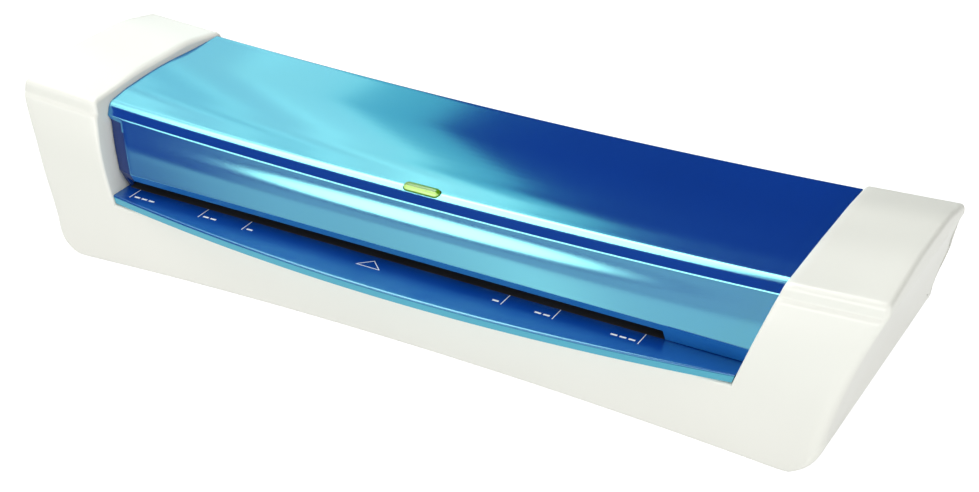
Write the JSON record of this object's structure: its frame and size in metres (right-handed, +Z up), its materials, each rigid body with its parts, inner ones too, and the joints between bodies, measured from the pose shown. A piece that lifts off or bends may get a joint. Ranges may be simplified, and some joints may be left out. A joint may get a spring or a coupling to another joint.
{
  "type": "pouch laminator",
  "caption": "Desktop pouch laminator: white casing with two end caps, waisted blue top cover, bowed blue feed tray, entry slot, rear exit, geared heated rollers and a push button.",
  "frame": {"origin": "centre of the footprint, on the table under the rubber feet", "axes": "+X to the user's right along the length, +Y from the feed tray to the exit, +Z up"},
  "size_m": [0.355, 0.135, 0.0746],
  "materials": {
    "casing_white": "glossy moulded white",
    "cover_blue": "high gloss translucent-looking blue",
    "tray_blue": "glossy deep blue",
    "button_green": "clear green lens",
    "foot_rubber": "matt",
    "gland_rubber": "matt",
    "screw_steel": "zinc plated",
    "frame_steel": "zinc plated sheet",
    "shaft_steel": "ground",
    "roller_silicone": "satin",
    "bush_bronze": "sintered",
    "gear_nylon": "moulded",
    "heater_aluminium": "mill finish",
    "heater_mica": "layered sheet",
    "guide_plastic": "fine texture",
    "board_green": "solder mask",
    "lamp_clear": "clear",
    "component_dark": "moulded"
  },
  "bodies": {
    "chassis": {"base_plate": "casing_white", "base_screw_1": "screw_steel", "base_screw_2": "screw_steel", "base_screw_3": "screw_steel", "base_screw_4": "screw_steel", "board_capacitor": "component_dark", "bracket_spacer_lower": "frame_steel", "bracket_spacer_upper": "frame_steel", "cable_gland": "gland_rubber", "control_board": "board_green", "drive_motor": "frame_steel", "exit_guide_lower": "guide_plastic", "exit_guide_upper": "guide_plastic", "feed_tray": "tray_blue", "foot_1": "foot_rubber", "foot_2": "foot_rubber", "foot_3": "foot_rubber", "foot_4": "foot_rubber", "frame_left": "frame_steel", "frame_right": "frame_steel", "heater_lower": "heater_mica", "heater_plate_lower": "heater_aluminium", "heater_plate_upper": "heater_aluminium", "heater_upper": "heater_mica", "housing": "casing_white", "idler_pin": "shaft_steel", "lower_bush_left": "bush_bronze", "lower_bush_right": "bush_bronze", "mains_transformer": "component_dark", "motor_bracket": "frame_steel", "nip_spring_left": "shaft_steel", "nip_spring_right": "shaft_steel", "ready_lamp": "lamp_clear", "rear_cover": "casing_white", "switch_board": "board_green", "tact_switch": "component_dark", "terminal_block": "component_dark", "thermal_fuse": "component_dark", "thermostat": "component_dark", "tie_rod_front": "frame_steel", "tie_rod_rear": "frame_steel", "top_cover": "cover_blue", "upper_bush_left": "bush_bronze", "upper_bush_right": "bush_bronze"},
    "lower_roller": {"lower_roller_shaft": "shaft_steel", "lower_roller_sleeve": "roller_silicone", "lower_roller_gear": "gear_nylon"},
    "upper_roller": {"upper_roller_shaft": "shaft_steel", "upper_roller_sleeve": "roller_silicone", "upper_roller_gear": "gear_nylon"},
    "idler": {"idler_gear": "gear_nylon"},
    "pinion": {"motor_pinion": "gear_nylon", "motor_shaft": "shaft_steel"},
    "button": {"power_button": "button_green"}
  },
  "joints": [
    {"name": "lower_roller_spin", "type": "hinge", "parent": "chassis", "child": "lower_roller", "pos_m": [0, 0.007, 0.02565], "axis": [1, 0, 0], "continuous": true},
    {"name": "upper_roller_spin", "type": "hinge", "parent": "chassis", "child": "upper_roller", "pos_m": [0, 0.007, 0.04695], "axis": [1, 0, 0], "continuous": true},
    {"name": "idler_spin", "type": "hinge", "parent": "chassis", "child": "idler", "pos_m": [0.113, -0.0102, 0.02001], "axis": [1, 0, 0], "continuous": true},
    {"name": "pinion_spin", "type": "hinge", "parent": "chassis", "child": "pinion", "pos_m": [0.113, -0.015, 0.033], "axis": [1, 0, 0], "continuous": true},
    {"name": "button_press", "type": "slide", "parent": "chassis", "child": "button", "axis": [0, 0.5452, -0.8383], "range_m": [0, 0.0009], "stiffness_N_per_m": 600}
  ],
  "couplings": [
    {"joint": "upper_roller_spin", "follows": "lower_roller_spin", "ratio": -1},
    {"joint": "idler_spin", "follows": "lower_roller_spin", "ratio": -1.4286},
    {"joint": "pinion_spin", "follows": "lower_roller_spin", "ratio": 1.6667}
  ]
}
